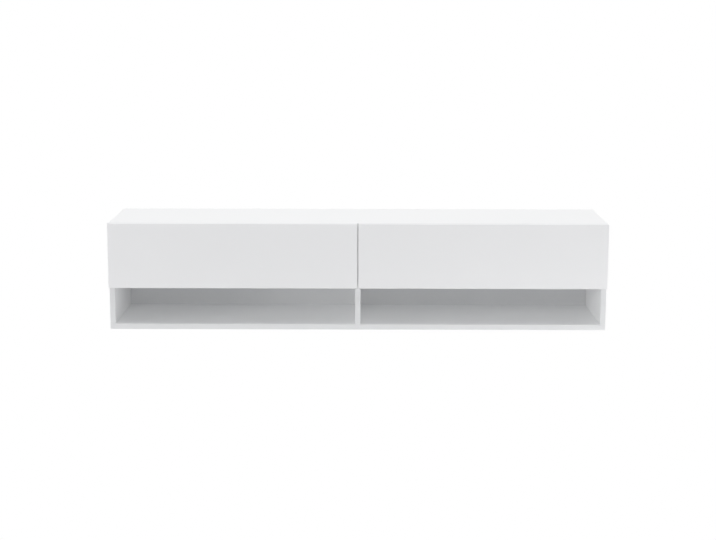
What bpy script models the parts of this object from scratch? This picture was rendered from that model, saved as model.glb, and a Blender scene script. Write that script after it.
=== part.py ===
"""Wall shelf with two push-to-open drawers above two open niches.

Metres, +Z up. The wall is the plane y = 0 and the fronts face -Y. x = 0 is the middle of the
centre partition, and z = 0 is half the height.
"""

import math

import bmesh
import bpy
from mathutils import Matrix, Vector

# Whole unit
WIDTH = 1.400
HEIGHT = 0.304
DEPTH = 0.320
BOARD = 0.015
FIT = 0.0003
EDGE_ROUNDING = 0.0006
CUT_OVERSHOOT = 0.001

# Back panels, held in grooves of the boards round them
BACK_THICKNESS = 0.003
BACK_INSET = 0.010
BACK_GROOVE_DEPTH = 0.005

# Fronts
FRONT_HEIGHT = 0.183
FRONT_THICKNESS = 0.015
FRONT_PRESS_GAP = 0.002
FRONTS_APART = 0.003

# Drawer boxes
DRAWER_BOARD = 0.012
DRAWER_BOTTOM_THICKNESS = 0.003
DRAWER_GROOVE_DEPTH = 0.005
DRAWER_BOTTOM_RISE = 0.012
DRAWER_FLOOR_CLEARANCE = 0.012
DRAWER_HEAD_CLEARANCE = 0.0027
DRAWER_REAR_MARGIN = 0.010

# Telescopic slides. They are sold in steps of length, and the longest that fits is used.
SLIDE_LENGTH_STEP = 0.050
SLIDE_REAR_CLEARANCE = 0.012
SLIDE_SETBACK = 0.003
SLIDE_THICKNESS = 0.0127
SLIDE_HEIGHT = 0.0455
SLIDE_SHEET = 0.0012
SLIDE_BEND = 0.0012
BALL_RADIUS = 0.0018
BALLS_IN_ROW = 5
RETAINER_SHEET = 0.0006
RETAINER_LIP = 0.0005
RETAINER_END_MARGIN = 0.0075
RETAINER_BALL_MARGIN = 0.008
SLIDE_SCREW_HOLE_RADIUS = 0.0022
SLIDE_SCREW_MARGIN = 0.037
SLIDE_ACCESS_HOLE_RADIUS = 0.006

# Cabinet hangers and their wall plates
HANGER_WIDTH = 0.017
HANGER_HEIGHT = 0.046
HANGER_DEPTH = 0.042
HANGER_CORNER = 0.0015
HANGER_PEG_RADIUS = 0.005
HANGER_PEG_LENGTH = 0.010
HANGER_PEG_SPACING = 0.028
HANGER_LIFT_TRAVEL = 0.006
HANGER_SCREW_RADIUS = 0.0023
HANGER_SCREW_LENGTH = 0.016
HANGER_SCREW_HEAD_RADIUS = 0.0038
HANGER_SCREW_HEAD_HEIGHT = 0.0022
HANGER_LIFT_SCREW_RISE = 0.010
HANGER_DEPTH_SCREW_RISE = 0.023
HOOK_WIDTH = 0.012
HOOK_THICKNESS = 0.004
HOOK_TOP_CLEARANCE = 0.003
HOOK_TAIL = 0.030
CLAW_THICKNESS = 0.003
CLAW_DROP = 0.009
CLAW_WALL_CLEARANCE = 0.0009
NOTCH_HEIGHT = 0.030
NOTCH_MARGIN = 0.004
PLATE_SHEET = 0.002
PLATE_WIDTH = 0.060
PLATE_HEIGHT = 0.050
PLATE_JOG_RISE = 0.005
PLATE_SIDE_MARGIN = 0.002
PLATE_HOLE_RADIUS = 0.0028
PLATE_HOLE_SPACING = 0.030
PLATE_HOLE_RISE = 0.012

# Push-to-open latches, under the top panel behind each front
LATCH_WIDTH = 0.014
LATCH_HEIGHT = 0.014
LATCH_LENGTH = 0.070
LATCH_FLANGE_THICKNESS = 0.0025
LATCH_FLANGE_WIDTH = 0.034
LATCH_FLANGE_LENGTH = 0.016
LATCH_FLANGE_SETBACK = 0.022
LATCH_HOLE_RADIUS = 0.002
PLUNGER_RADIUS = 0.0035
PLUNGER_LENGTH = 0.028
PLUNGER_TIP_RADIUS = 0.0052
PLUNGER_TIP_LENGTH = 0.004
PLUNGER_PLAY = 0.00035
PRESS_MARGIN = 0.0015

# Joining screws of the bottom panel
SCREW_HEAD_RADIUS = 0.005
SCREW_HEAD_HEIGHT = 0.0035
SCREW_NECK_RADIUS = 0.0034
SCREW_NECK_LENGTH = 0.009
SCREW_SHANK_RADIUS = 0.0025
SCREW_LENGTH = 0.048
SCREW_SOCKET_RADIUS = 0.0023
SCREW_SOCKET_DEPTH = 0.0025
SCREW_EDGE_DISTANCE = 0.060

# Places worked out from the sizes above
TOP = HEIGHT / 2
BOTTOM = -HEIGHT / 2
SIDE_INNER = WIDTH / 2 - BOARD
PARTITION_FACE = BOARD / 2
FRONT_FACE = -DEPTH
FRONT_REAR = FRONT_FACE + FRONT_THICKNESS
CARCASS_FRONT = FRONT_REAR + FRONT_PRESS_GAP
BACK_FACE = -(BACK_INSET + BACK_THICKNESS)
FRONT_LOWER_EDGE = TOP - FRONT_HEIGHT
SHELF_TOP = FRONT_LOWER_EDGE + BOARD
COMPARTMENT_TOP = TOP - BOARD
NICHE_FLOOR = BOTTOM + BOARD

SLIDE_BAY = SLIDE_THICKNESS + 2 * FIT
SLIDE_FRONT = CARCASS_FRONT + SLIDE_SETBACK
SLIDE_ROOM = BACK_FACE - SLIDE_FRONT - DRAWER_REAR_MARGIN - SLIDE_REAR_CLEARANCE
SLIDE_LENGTH = SLIDE_LENGTH_STEP * math.floor(SLIDE_ROOM / SLIDE_LENGTH_STEP)
DRAWER_REAR = SLIDE_FRONT + SLIDE_LENGTH + DRAWER_REAR_MARGIN
DRAWER_LOWER_EDGE = SHELF_TOP + DRAWER_FLOOR_CLEARANCE
HANGER_TOP = COMPARTMENT_TOP - FIT
HANGER_UNDERSIDE = HANGER_TOP - HANGER_HEIGHT
DRAWER_UPPER_EDGE = HANGER_UNDERSIDE - DRAWER_HEAD_CLEARANCE
SLIDE_CENTRE = (DRAWER_LOWER_EDGE + DRAWER_UPPER_EDGE) / 2
HANGER_REAR = BACK_FACE - FIT
HANGER_FRONT = HANGER_REAR - HANGER_DEPTH
HOOK_TOP = COMPARTMENT_TOP - HOOK_TOP_CLEARANCE
HOOK_UNDERSIDE = HOOK_TOP - HOOK_THICKNESS
LATCH_TOP = COMPARTMENT_TOP - FIT
PLUNGER_AXIS = LATCH_TOP - LATCH_HEIGHT / 2

SIDES = (("left", -1), ("right", 1))


def start_clean():
    for obj in list(bpy.data.objects):
        bpy.data.objects.remove(obj, do_unlink=True)
    for collection in list(bpy.data.collections):
        bpy.data.collections.remove(collection)


def new_collection(name):
    collection = bpy.data.collections.new(name)
    bpy.context.scene.collection.children.link(collection)
    return collection


def new_material(name, color, roughness, metallic=0.0):
    material = bpy.data.materials.new(name)
    material.use_nodes = True
    shader = material.node_tree.nodes["Principled BSDF"]
    shader.inputs["Base Color"].default_value = (*color, 1.0)
    shader.inputs["Roughness"].default_value = roughness
    shader.inputs["Metallic"].default_value = metallic
    return material


start_clean()
PARTS = new_collection("wall_shelf_with_drawers")
CUTTERS = new_collection("cutters")

LACQUER = new_material("white_lacquered_board", (0.86, 0.87, 0.88), 0.35)
MELAMINE = new_material("white_melamine_board", (0.80, 0.80, 0.80), 0.5)
HARDBOARD = new_material("white_faced_hardboard", (0.72, 0.72, 0.72), 0.6)
ZINC = new_material("zinc_plated_steel", (0.62, 0.64, 0.66), 0.3, 1.0)
BALL_STEEL = new_material("ball_retainer_steel", (0.5, 0.51, 0.53), 0.25, 1.0)
NYLON = new_material("white_nylon", (0.82, 0.82, 0.80), 0.45)
GREY_PLASTIC = new_material("grey_plastic", (0.45, 0.46, 0.47), 0.5)


def mesh_object(name, shape, material):
    """A new object from a bmesh: a part if it has a material, else a helper that isn't rendered."""
    mesh = bpy.data.meshes.new(name)
    shape.to_mesh(mesh)
    shape.free()
    obj = bpy.data.objects.new(name, mesh)
    if material:
        mesh.materials.append(material)
        PARTS.objects.link(obj)
    else:
        obj.hide_render = True
        obj.display_type = "WIRE"
        CUTTERS.objects.link(obj)
    return obj


def carry(obj, parent):
    """Parents an object to an empty that is only moved, and keeps the object where it is."""
    if parent:
        obj.parent = parent
        obj.location -= parent.location
    return obj


def boolean(target, helper, operation):
    modifier = target.modifiers.new(operation.title(), "BOOLEAN")
    modifier.operation = operation
    modifier.solver = "EXACT"
    modifier.object = helper


def cut(target, cutter):
    boolean(target, cutter, "DIFFERENCE")


def join(target, helper):
    boolean(target, helper, "UNION")


def smooth(obj, angle=math.radians(35)):
    obj.data.shade_smooth()
    obj.data.set_sharp_from_angle(angle=angle)


def block(name, x, y, z, material=None, rounding=0.0, parent=None):
    """A box between pairs of coordinates, given in any order."""
    spans = [sorted(pair) for pair in (x, y, z)]
    middle = Vector([(low + high) / 2 for low, high in spans])
    size = [high - low for low, high in spans]
    shape = bmesh.new()
    bmesh.ops.create_cube(shape, size=1.0, matrix=Matrix.Diagonal((*size, 1.0)))
    obj = mesh_object(name, shape, material)
    obj.location = middle
    if rounding:
        bevel = obj.modifiers.new("Edges", "BEVEL")
        bevel.width = rounding
        bevel.segments = 2
        bevel.limit_method = "ANGLE"
    return carry(obj, parent)


def facing(direction):
    """The rotation that turns local +Z to a direction."""
    return Vector((0, 0, 1)).rotation_difference(Vector(direction)).to_euler()


def rod(name, start, end, radius, sides=12):
    start, end = Vector(start), Vector(end)
    shape = bmesh.new()
    bmesh.ops.create_cone(
        shape,
        cap_ends=True,
        segments=sides,
        radius1=radius,
        radius2=radius,
        depth=(end - start).length,
    )
    obj = mesh_object(name, shape, None)
    obj.location = (start + end) / 2
    obj.rotation_euler = facing(end - start)
    return obj


def turned(name, profile, origin, direction, material=None, steps=16, parent=None):
    """A solid of revolution. The profile is (radius, height) points from the top down."""
    shape = bmesh.new()
    points = [shape.verts.new((radius, 0, height)) for radius, height in profile]
    for upper, lower in zip(points, points[1:]):
        shape.edges.new((upper, lower))
    obj = mesh_object(name, shape, material)
    obj.location = origin
    obj.rotation_euler = facing(direction)
    screw = obj.modifiers.new("Turn", "SCREW")
    screw.steps = steps
    screw.render_steps = steps
    screw.use_merge_vertices = True
    screw.merge_threshold = 0.00001
    screw.use_smooth_shade = True
    return carry(obj, parent)


def arc(centre, radius, start, end, count=5):
    """Points along an arc, with its angles in degrees."""
    angles = [math.radians(start + (end - start) * i / count) for i in range(count + 1)]
    return [(centre[0] + radius * math.cos(a), centre[1] + radius * math.sin(a)) for a in angles]


def filleted(corners, count=3):
    """An outline from (x, y, radius) corners, each rounded by its radius."""
    points = []
    for i, (x, y, radius) in enumerate(corners):
        here = Vector((x, y))
        if not radius:
            points.append(here)
            continue
        before = (Vector(corners[i - 1][:2]) - here).normalized()
        after = (Vector(corners[(i + 1) % len(corners)][:2]) - here).normalized()
        half = before.angle(after) / 2
        middle = here + (before + after).normalized() * radius / math.sin(half)
        first = here + before * radius / math.tan(half) - middle
        last = here + after * radius / math.tan(half) - middle
        turn = first.angle_signed(last)
        for step in range(count + 1):
            points.append(middle + Matrix.Rotation(-turn * step / count, 2) @ first)
    return points


def outline(name, points, thickness, rotation, location, material=None):
    """A flat outline with a thickness, made as a filled 2D curve and turned into a mesh."""
    curve = bpy.data.curves.new(name + "_curve", "CURVE")
    curve.dimensions = "2D"
    curve.fill_mode = "BOTH"
    curve.extrude = thickness / 2
    spline = curve.splines.new("POLY")
    spline.points.add(len(points) - 1)
    for point, (x, y) in zip(spline.points, points):
        point.co = (x, y, 0, 1)
    spline.use_cyclic_u = True
    drawn = bpy.data.objects.new(name + "_curve", curve)
    drawn.rotation_euler = rotation
    drawn.location = location
    CUTTERS.objects.link(drawn)
    graph = bpy.context.evaluated_depsgraph_get()
    shape = bmesh.new()
    shape.from_mesh(bpy.data.meshes.new_from_object(drawn.evaluated_get(graph)))
    bmesh.ops.remove_doubles(shape, verts=shape.verts, dist=0.000001)
    placement = drawn.matrix_world.copy()
    bpy.data.objects.remove(drawn)
    obj = mesh_object(name, shape, material)
    obj.matrix_world = placement
    return obj


def sheet(name, path, run, thickness, material, parent=None):
    """Bent sheet metal: a path of points, swept along a run and given its thickness."""
    shape = bmesh.new()
    points = [shape.verts.new(point) for point in path]
    edges = [shape.edges.new(pair) for pair in zip(points, points[1:])]
    swept = bmesh.ops.extrude_edge_only(shape, edges=edges)["geom"]
    moved = [item for item in swept if isinstance(item, bmesh.types.BMVert)]
    bmesh.ops.translate(shape, verts=moved, vec=run)
    obj = mesh_object(name, shape, material)
    smooth(obj)
    solid = obj.modifiers.new("Sheet", "SOLIDIFY")
    solid.thickness = thickness
    solid.offset = 0
    solid.use_even_offset = True
    return carry(obj, parent)


def joining_screw(name, x, y):
    """A screw driven up through the bottom panel, with a hexagon socket in its sunk head."""
    neck_end = SCREW_HEAD_HEIGHT + SCREW_NECK_LENGTH
    shank = [
        (0, SCREW_LENGTH),
        (SCREW_SHANK_RADIUS, SCREW_LENGTH - SCREW_SHANK_RADIUS),
        (SCREW_SHANK_RADIUS, neck_end + FIT),
        (SCREW_NECK_RADIUS, neck_end),
        (SCREW_NECK_RADIUS, SCREW_HEAD_HEIGHT),
        (SCREW_HEAD_RADIUS, FIT * 2),
    ]
    screw = turned(name, [*shank, (SCREW_HEAD_RADIUS, FIT), (0, FIT)], (x, y, BOTTOM), (0, 0, 1),
                   ZINC, steps=12)
    socket = rod(
        name + "_socket",
        (x, y, BOTTOM - CUT_OVERSHOOT),
        (x, y, BOTTOM + FIT + SCREW_SOCKET_DEPTH),
        SCREW_SOCKET_RADIUS,
        sides=6,
    )
    cut(screw, socket)
    hole = [(radius + FIT, height + FIT) for radius, height in shank[1:]]
    hole = [(0, SCREW_LENGTH + FIT), *hole]
    hole += [(SCREW_HEAD_RADIUS + FIT, -CUT_OVERSHOOT), (0, -CUT_OVERSHOOT)]
    return turned(name + "_hole", hole, (x, y, BOTTOM), (0, 0, 1), steps=12)


def build_carcass():
    depth = (CARCASS_FRONT, 0)
    groove_y = (BACK_FACE - FIT, -BACK_INSET + FIT)
    groove_reach = SIDE_INNER + BACK_GROOVE_DEPTH
    held = BACK_GROOVE_DEPTH - FIT
    upright_z = (NICHE_FLOOR + FIT, COMPARTMENT_TOP - FIT)
    past_ends = (BOTTOM, TOP)

    top = block("top_panel", (-WIDTH / 2, WIDTH / 2), depth, (COMPARTMENT_TOP, TOP), LACQUER,
                EDGE_ROUNDING)
    cut(top, block("top_groove", (-groove_reach, groove_reach), groove_y,
                   (COMPARTMENT_TOP - CUT_OVERSHOOT, COMPARTMENT_TOP + BACK_GROOVE_DEPTH)))
    bottom = block("bottom_panel", (-WIDTH / 2, WIDTH / 2), depth, (BOTTOM, NICHE_FLOOR), LACQUER,
                   EDGE_ROUNDING)
    cut(bottom, block("bottom_groove", (-groove_reach, groove_reach), groove_y,
                      (NICHE_FLOOR + CUT_OVERSHOOT, NICHE_FLOOR - BACK_GROOVE_DEPTH)))
    partition = block("centre_partition", (-PARTITION_FACE, PARTITION_FACE), depth, upright_z,
                      LACQUER, EDGE_ROUNDING)
    uprights = [("partition", 0, partition)]

    for side, way in SIDES:
        panel = block(side + "_side_panel", (way * SIDE_INNER, way * WIDTH / 2), depth, upright_z,
                      LACQUER, EDGE_ROUNDING)
        cut(panel, block(side + "_side_groove",
                         (way * (SIDE_INNER - CUT_OVERSHOOT), way * groove_reach), groove_y,
                         past_ends))
        cut(partition, block(side + "_partition_groove",
                             (way * (PARTITION_FACE - BACK_GROOVE_DEPTH),
                              way * (PARTITION_FACE + CUT_OVERSHOOT)), groove_y, past_ends))
        uprights.append((side, way * (WIDTH - BOARD) / 2, panel))
        for peg_y in peg_places():
            cut(panel, rod(side + "_peg_hole", (way * (SIDE_INNER - CUT_OVERSHOOT), *peg_y),
                           (way * (SIDE_INNER + HANGER_PEG_LENGTH + FIT), *peg_y),
                           HANGER_PEG_RADIUS + FIT))

        block(side + "_drawer_shelf", (way * (PARTITION_FACE + FIT), way * (SIDE_INNER - FIT)),
              (CARCASS_FRONT, BACK_FACE - FIT), (FRONT_LOWER_EDGE, SHELF_TOP), MELAMINE,
              EDGE_ROUNDING)
        back = block(side + "_back_panel",
                     (way * (PARTITION_FACE - held), way * (SIDE_INNER + held)),
                     (BACK_FACE, -BACK_INSET), (NICHE_FLOOR - held, COMPARTMENT_TOP + held),
                     HARDBOARD)
        cut(back, block(side + "_notch",
                        (way * (SIDE_INNER - HANGER_WIDTH - NOTCH_MARGIN), way * WIDTH / 2),
                        (BACK_FACE - CUT_OVERSHOOT, 0), (COMPARTMENT_TOP - NOTCH_HEIGHT, TOP)))

    for label, x, upright in uprights:
        for end, y in (("front", CARCASS_FRONT + SCREW_EDGE_DISTANCE),
                       ("rear", -SCREW_EDGE_DISTANCE)):
            hole = joining_screw(label + "_" + end + "_screw", x, y)
            cut(bottom, hole)
            cut(upright, hole)


def peg_places():
    """The (y, z) places of a hanger's two pegs."""
    y = HANGER_FRONT + HANGER_DEPTH / 2
    z = HANGER_UNDERSIDE + HANGER_HEIGHT / 2
    return [(y - HANGER_PEG_SPACING / 2, z), (y + HANGER_PEG_SPACING / 2, z)]


def build_drawer(side, way, runner):
    outer = SIDE_INNER - SLIDE_BAY
    inner = PARTITION_FACE + SLIDE_BAY
    length = (FRONT_REAR + FIT, DRAWER_REAR)
    box_z = (DRAWER_LOWER_EDGE, DRAWER_UPPER_EDGE)
    floor_z = DRAWER_LOWER_EDGE + DRAWER_BOTTOM_RISE
    groove_z = (floor_z - FIT, floor_z + DRAWER_BOTTOM_THICKNESS + FIT)
    held = DRAWER_GROOVE_DEPTH - FIT
    between = (way * (inner + DRAWER_BOARD + FIT), way * (outer - DRAWER_BOARD - FIT))
    groove_x = (way * (inner + DRAWER_BOARD - DRAWER_GROOVE_DEPTH),
                way * (outer - DRAWER_BOARD + DRAWER_GROOVE_DEPTH))
    back_y = (DRAWER_REAR - DRAWER_BOARD, DRAWER_REAR)
    groove = block(side + "_drawer_groove", groove_x,
                   (FRONT_REAR - DRAWER_GROOVE_DEPTH, back_y[0] + DRAWER_GROOVE_DEPTH), groove_z)

    front = block(side + "_drawer_front", (way * FRONTS_APART / 2, way * WIDTH / 2),
                  (FRONT_FACE, FRONT_REAR), (FRONT_LOWER_EDGE, TOP), LACQUER, EDGE_ROUNDING, runner)
    outer_side = block(side + "_drawer_outer_side", (way * (outer - DRAWER_BOARD), way * outer),
                       length, box_z, MELAMINE, EDGE_ROUNDING, runner)
    inner_side = block(side + "_drawer_inner_side", (way * inner, way * (inner + DRAWER_BOARD)),
                       length, box_z, MELAMINE, EDGE_ROUNDING, runner)
    back = block(side + "_drawer_back", between, back_y, box_z, MELAMINE, EDGE_ROUNDING, runner)
    for piece in (front, outer_side, inner_side, back):
        cut(piece, groove)
    block(side + "_drawer_bottom",
          (way * (inner + DRAWER_BOARD - held), way * (outer - DRAWER_BOARD + held)),
          (FRONT_REAR - held, back_y[0] + held), (floor_z, floor_z + DRAWER_BOTTOM_THICKNESS),
          HARDBOARD, parent=runner)


def slide_section():
    """The slide's cross-section: for each member, its path of (across, up) points.

    Across runs from the cabinet board to the drawer side, up from the slide's middle height.
    """
    layer = SLIDE_SHEET + RETAINER_SHEET + 2 * FIT
    cabinet_web = SLIDE_SHEET / 2
    middle_web = cabinet_web + layer
    drawer_web = SLIDE_THICKNESS - SLIDE_SHEET / 2
    outer_retainer_web = SLIDE_SHEET + FIT + RETAINER_SHEET / 2
    inner_retainer_web = outer_retainer_web + layer
    ball_across = inner_retainer_web + RETAINER_SHEET / 2 + FIT + BALL_RADIUS
    race = BALL_RADIUS + FIT + SLIDE_SHEET / 2
    outer_ball = SLIDE_HEIGHT / 2 - SLIDE_SHEET - FIT - BALL_RADIUS
    inner_ball = outer_ball - 2 * (BALL_RADIUS + FIT) - SLIDE_SHEET
    reach = ball_across + BALL_RADIUS + RETAINER_LIP

    def over_balls(web, ball, lip_angle):
        """A channel whose flanges pass outside a row of balls."""
        race_arc = arc((ball_across, ball), race, lip_angle, 135)
        shoulder = race_arc[-1][1]
        bend = arc((web + SLIDE_BEND, shoulder - SLIDE_BEND), SLIDE_BEND, 90, 180, 3)
        return race_arc + bend

    def under_balls(web, ball):
        """A channel whose flanges pass inside a row of balls."""
        race_arc = arc((ball_across, ball), race, 240, 315)
        shoulder = race_arc[-1][1]
        bend = arc((web - SLIDE_BEND, shoulder - SLIDE_BEND), SLIDE_BEND, 90, 0, 3)
        return race_arc + bend

    def both_halves(upper):
        return upper + [(across, -up) for across, up in reversed(upper)]

    return {
        "cabinet_member": both_halves(over_balls(cabinet_web, outer_ball, 20)),
        "middle_member": both_halves(over_balls(middle_web, inner_ball, 30)),
        "drawer_member": both_halves(under_balls(drawer_web, inner_ball)),
        "outer_retainer": both_halves([(reach, outer_ball), (outer_retainer_web, outer_ball)]),
        "inner_retainer": both_halves([(reach, inner_ball), (inner_retainer_web, inner_ball)]),
        "outer_ball": (ball_across, outer_ball),
        "inner_ball": (ball_across, inner_ball),
    }


def build_slide(name, face, inward, carriers):
    """One telescopic slide, on a board whose face is at x = face, open towards inward."""
    section = slide_section()
    board = face + inward * FIT

    def placed(path, y):
        return [(board + inward * across, y, SLIDE_CENTRE + up) for across, up in path]

    rear = SLIDE_FRONT + SLIDE_LENGTH
    run = (0, SLIDE_LENGTH, 0)
    screw_places = [SLIDE_FRONT + SLIDE_SCREW_MARGIN, (SLIDE_FRONT + rear) / 2,
                    rear - SLIDE_SCREW_MARGIN]
    for member, radius, places in (
        ("cabinet_member", SLIDE_SCREW_HOLE_RADIUS, screw_places),
        ("middle_member", SLIDE_ACCESS_HOLE_RADIUS, screw_places[::2]),
        ("drawer_member", SLIDE_SCREW_HOLE_RADIUS, screw_places),
    ):
        channel = sheet(f"{name}_{member}", placed(section[member], SLIDE_FRONT), run, SLIDE_SHEET,
                        ZINC, carriers.get(member))
        for number, y in enumerate(places):
            web = section[member][len(section[member]) // 2][0]
            cut(channel, rod(f"{name}_{member}_hole_{number}",
                             (board + inward * (web - SLIDE_SHEET), y, SLIDE_CENTRE),
                             (board + inward * (web + SLIDE_SHEET), y, SLIDE_CENTRE), radius))

    length = SLIDE_LENGTH / 2 - 2 * RETAINER_END_MARGIN
    start = (SLIDE_FRONT + rear - length) / 2
    pitch = (length - 2 * RETAINER_BALL_MARGIN) / (BALLS_IN_ROW - 1)
    for row in ("outer", "inner"):
        strip = sheet(f"{name}_{row}_retainer", placed(section[row + "_retainer"], start),
                      (0, length, 0), RETAINER_SHEET, BALL_STEEL, carriers.get(row + "_retainer"))
        across, up = section[row + "_ball"]
        shape = bmesh.new()
        for number in range(BALLS_IN_ROW):
            y = start + RETAINER_BALL_MARGIN + number * pitch
            for height in (SLIDE_CENTRE + up, SLIDE_CENTRE - up):
                centre = Matrix.Translation((board + inward * across, y, height))
                bmesh.ops.create_uvsphere(shape, u_segments=6, v_segments=4, radius=BALL_RADIUS,
                                          matrix=centre)
        join(strip, mesh_object(f"{name}_{row}_balls", shape, None))


def cross_recess(name, x, y, z, size):
    """Two crossed slots, sunk into a screw head that faces -Y."""
    width = size / 4
    deep = (y - CUT_OVERSHOOT, y + HANGER_SCREW_HEAD_HEIGHT / 2)
    return (block(name + "_slot_1", (x - size / 2, x + size / 2), deep, (z - width / 2, z + width / 2)),
            block(name + "_slot_2", (x - width / 2, x + width / 2), deep, (z - size / 2, z + size / 2)))


def build_hanger(side, way):
    """The adjustable hanger in an upper rear corner, and the plate on the wall that it hooks on."""
    near = way * (SIDE_INNER - FIT)
    far = way * (SIDE_INNER - FIT - HANGER_WIDTH)
    middle = (near + far) / 2
    housing = block(side + "_hanger_housing", (near, far), (HANGER_FRONT, HANGER_REAR),
                    (HANGER_UNDERSIDE, HANGER_TOP), NYLON, HANGER_CORNER)
    claw_rear = -CLAW_WALL_CLEARANCE
    claw_front = claw_rear - CLAW_THICKNESS
    tail = HANGER_REAR - HOOK_TAIL
    half_slot = HOOK_WIDTH / 2 + FIT
    cut(housing, block(side + "_hanger_slot", (middle - half_slot, middle + half_slot),
                       (tail - FIT, HANGER_REAR + CUT_OVERSHOOT),
                       (HOOK_UNDERSIDE - HANGER_LIFT_TRAVEL, HOOK_TOP + FIT)))
    for number, place in enumerate(peg_places()):
        join(housing, rod(f"{side}_hanger_peg_{number}", (near - way * HANGER_CORNER, *place),
                          (near + way * HANGER_PEG_LENGTH, *place), HANGER_PEG_RADIUS))

    for job, rise in (("lift", HANGER_LIFT_SCREW_RISE), ("depth", HANGER_DEPTH_SCREW_RISE)):
        z = HANGER_UNDERSIDE + rise
        head = [(0, FIT + HANGER_SCREW_HEAD_HEIGHT),
                (HANGER_SCREW_HEAD_RADIUS / 2, FIT + HANGER_SCREW_HEAD_HEIGHT),
                (HANGER_SCREW_HEAD_RADIUS, FIT + HANGER_SCREW_HEAD_HEIGHT / 2),
                (HANGER_SCREW_HEAD_RADIUS, FIT)]
        shank = [(HANGER_SCREW_RADIUS, FIT), (HANGER_SCREW_RADIUS, -HANGER_SCREW_LENGTH),
                 (0, -HANGER_SCREW_LENGTH)]
        screw = turned(f"{side}_hanger_{job}_screw", head + shank, (middle, HANGER_FRONT, z),
                       (0, -1, 0), ZINC, steps=12)
        head_face = HANGER_FRONT - FIT - HANGER_SCREW_HEAD_HEIGHT
        for slot in cross_recess(screw.name, middle, head_face, z, HANGER_SCREW_HEAD_RADIUS):
            cut(screw, slot)
        cut(housing, rod(f"{side}_hanger_{job}_bore", (middle, HANGER_FRONT - CUT_OVERSHOOT, z),
                         (middle, HANGER_FRONT + HANGER_SCREW_LENGTH + CUT_OVERSHOOT, z),
                         HANGER_SCREW_RADIUS + FIT))

    claw_underside = HOOK_UNDERSIDE - CLAW_DROP
    hook = [
        (tail, HOOK_UNDERSIDE, 0),
        (tail, HOOK_TOP, 0),
        (claw_rear, HOOK_TOP, HOOK_THICKNESS / 2),
        (claw_rear, claw_underside, 0),
        (claw_front, claw_underside, 0),
        (claw_front, HOOK_UNDERSIDE, 0),
    ]
    outline(side + "_hanger_hook", filleted(hook), HOOK_WIDTH, (math.pi / 2, 0, math.pi / 2),
            (middle, 0, 0), ZINC)

    on_wall = -PLATE_SHEET / 2
    lip = claw_front - FIT - PLATE_SHEET / 2
    jog_top = claw_underside - FIT
    plate_top = HOOK_UNDERSIDE - FIT
    plate_low = plate_top - PLATE_HEIGHT
    start = way * (SIDE_INNER - PLATE_SIDE_MARGIN)
    path = [(start, on_wall, plate_low), (start, on_wall, jog_top - PLATE_JOG_RISE),
            (start, lip, jog_top), (start, lip, plate_top)]
    plate = sheet(side + "_wall_plate", path, (-way * PLATE_WIDTH, 0, 0), PLATE_SHEET, ZINC)
    centre = start - way * PLATE_WIDTH / 2
    for number, x in enumerate((centre - PLATE_HOLE_SPACING / 2, centre + PLATE_HOLE_SPACING / 2)):
        z = plate_low + PLATE_HOLE_RISE
        cut(plate, rod(f"{side}_plate_hole_{number}", (x, -PLATE_SHEET - CUT_OVERSHOOT, z),
                       (x, CUT_OVERSHOOT, z), PLATE_HOLE_RADIUS))


def build_latch(side, way, presser):
    """The push-to-open latch under the top panel, and its plunger behind the front."""
    x = way * (PARTITION_FACE + SIDE_INNER) / 2
    tip_face = FRONT_REAR + FIT
    tip_rear = tip_face + PLUNGER_TIP_LENGTH
    nose = tip_rear + FRONT_PRESS_GAP + PRESS_MARGIN
    radius = LATCH_WIDTH / 2
    axis_down = LATCH_HEIGHT - radius
    arch = [(-radius, 0), (-radius, -axis_down)]
    arch += arc((0, -axis_down), radius, 180, 360, 8)[1:-1]
    arch += [(radius, -axis_down), (radius, 0)]
    housing = outline(side + "_latch_housing", arch, LATCH_LENGTH, (math.pi / 2, 0, 0),
                      (x, nose + LATCH_LENGTH / 2, LATCH_TOP), NYLON)
    smooth(housing)
    half = LATCH_FLANGE_WIDTH / 2
    ear = LATCH_FLANGE_LENGTH / 2
    flange = filleted([(-half, -ear, ear / 2), (half, -ear, ear / 2), (half, ear, ear / 2),
                       (-half, ear, ear / 2)])
    flange_y = nose + LATCH_FLANGE_SETBACK
    join(housing, outline(side + "_latch_flange", flange, LATCH_FLANGE_THICKNESS, (0, 0, 0),
                          (x, flange_y, LATCH_TOP - LATCH_FLANGE_THICKNESS / 2)))
    for number, hole_x in enumerate((x - (half + radius) / 2, x + (half + radius) / 2)):
        cut(housing, rod(f"{side}_latch_hole_{number}",
                         (hole_x, flange_y, LATCH_TOP - LATCH_FLANGE_THICKNESS - CUT_OVERSHOOT),
                         (hole_x, flange_y, LATCH_TOP + CUT_OVERSHOOT), LATCH_HOLE_RADIUS))
    bore_end = tip_rear + PLUNGER_LENGTH + FRONT_PRESS_GAP + PRESS_MARGIN
    cut(housing, rod(side + "_latch_bore", (x, nose - CUT_OVERSHOOT, PLUNGER_AXIS),
                     (x, bore_end, PLUNGER_AXIS), PLUNGER_RADIUS + PLUNGER_PLAY))

    rounding = PLUNGER_TIP_LENGTH / 4
    profile = [(0, 0), (PLUNGER_TIP_RADIUS - rounding, 0), (PLUNGER_TIP_RADIUS, -rounding),
               (PLUNGER_TIP_RADIUS, -PLUNGER_TIP_LENGTH), (PLUNGER_RADIUS, -PLUNGER_TIP_LENGTH),
               (PLUNGER_RADIUS, -PLUNGER_TIP_LENGTH - PLUNGER_LENGTH),
               (0, -PLUNGER_TIP_LENGTH - PLUNGER_LENGTH)]
    turned(side + "_latch_plunger", profile, (x, tip_face, PLUNGER_AXIS), (0, -1, 0), GREY_PLASTIC,
           parent=presser)


def axis_empty(name, location):
    """An empty on a joint's axis, which the pieces that move with the joint are parented to."""
    empty = bpy.data.objects.new(name, None)
    empty.location = location
    PARTS.objects.link(empty)
    return empty


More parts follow.
